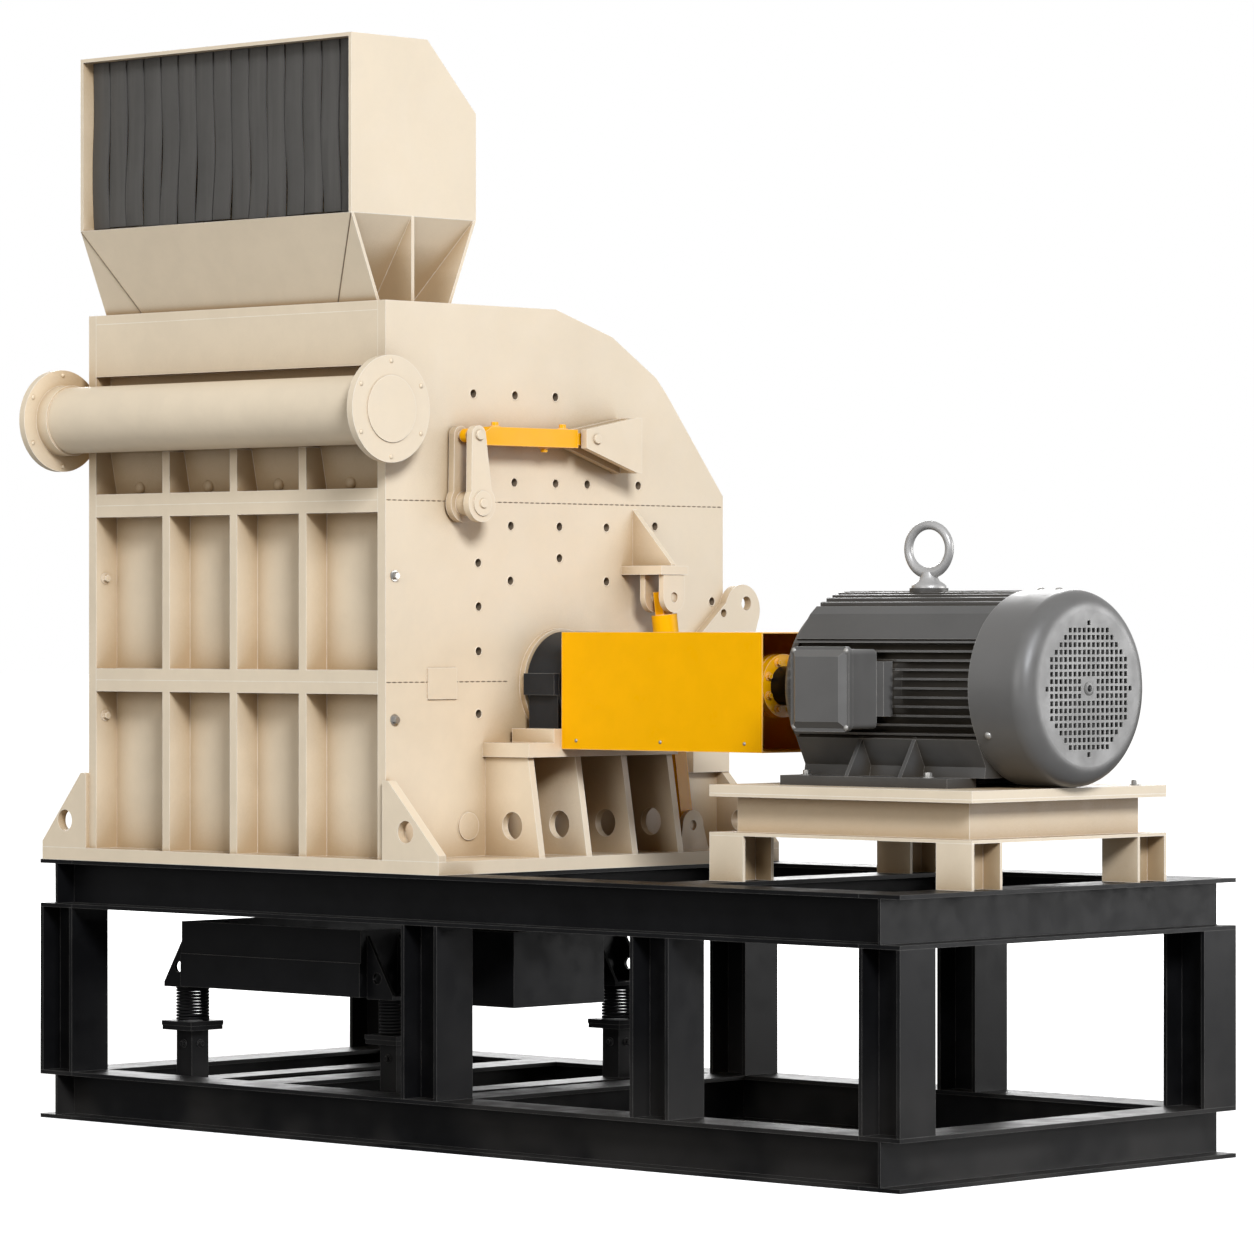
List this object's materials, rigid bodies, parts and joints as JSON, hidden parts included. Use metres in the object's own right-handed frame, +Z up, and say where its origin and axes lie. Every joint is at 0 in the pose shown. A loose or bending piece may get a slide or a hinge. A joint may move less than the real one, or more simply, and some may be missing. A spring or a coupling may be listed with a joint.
{
  "type": "metal crusher",
  "caption": "Metal crusher with a ribbed welded housing, curtained inlet hood, sprung vibrating tray, beam skid and a coupled electric motor.",
  "frame": {"origin": "on the floor, at the middle of the machine's outline seen from above", "axes": "+X along the rotor towards the motor, -Y to the feed side, +Z up"},
  "size_m": [3.879, 1.9659, 3.538],
  "materials": {
    "black_paint": "satin black paint on rolled sections",
    "spring_steel": "black coated spring wire",
    "cream_paint": "smooth satin cream paint on welded plate",
    "curtain_rubber": "matt dark grey rubber",
    "bearing_grey": "satin dark grey paint on a casting",
    "machined_steel": "turned steel",
    "yellow_paint": "smooth semi gloss yellow paint",
    "hub_black": "blackened steel",
    "motor_grey": "satin charcoal paint on a finned casting",
    "cowl_grey": "satin mid grey paint"
  },
  "bodies": {
    "machine": {"lower_long_beams": "black_paint", "lower_end_beams": "black_paint", "lower_cross_beams": "black_paint", "spring_posts": "black_paint", "columns": "black_paint", "upper_long_beams": "black_paint", "upper_end_beams": "black_paint", "upper_cross_beams": "black_paint", "tray_springs": "spring_steel", "base_plate": "cream_paint", "side_wall_left": "cream_paint", "side_wall_right": "cream_paint", "front_wall_lower": "cream_paint", "front_wall_middle": "cream_paint", "front_wall_upper": "cream_paint", "front_box": "cream_paint", "rear_wall_lower": "cream_paint", "rear_wall_middle": "cream_paint", "rear_hood": "cream_paint", "top_plate": "cream_paint", "corner_gussets": "cream_paint", "cross_tube": "cream_paint", "inlet_chute": "cream_paint", "inlet_hood": "cream_paint", "bearing_pedestals": "cream_paint", "link_arms": "cream_paint", "link_brackets": "cream_paint", "strut_brackets": "cream_paint", "strut_lugs": "cream_paint", "rear_ears": "cream_paint", "motor_base_legs": "cream_paint", "motor_base_frame": "cream_paint", "motor_base_plate": "cream_paint", "inlet_curtain": "curtain_rubber", "bearing_housings": "bearing_grey", "coupling_guard": "yellow_paint", "link_bars": "yellow_paint", "struts": "yellow_paint", "motor_frame": "motor_grey", "motor_end_bell": "motor_grey", "fan_cowl": "cowl_grey", "terminal_box": "cowl_grey", "eye_bolt": "cowl_grey"},
    "tray": {"tray_pan": "black_paint", "tray_brackets": "black_paint", "exciter_housing": "black_paint"},
    "drive_line": {"rotor_shaft": "machined_steel", "coupling": "yellow_paint", "motor_shaft": "hub_black"}
  },
  "joints": [
    {"name": "rotor_spin", "type": "hinge", "parent": "machine", "child": "drive_line", "pos_m": [0, 0.032, 1.466], "axis": [1, 0, 0], "continuous": true},
    {"name": "tray_bounce", "type": "slide", "parent": "machine", "child": "tray", "axis": [0, 0, 1], "range_m": [-0.008, 0.008], "stiffness_N_per_m": 300000, "springref_m": 0.01285, "deforming": ["tray_springs"]}
  ]
}
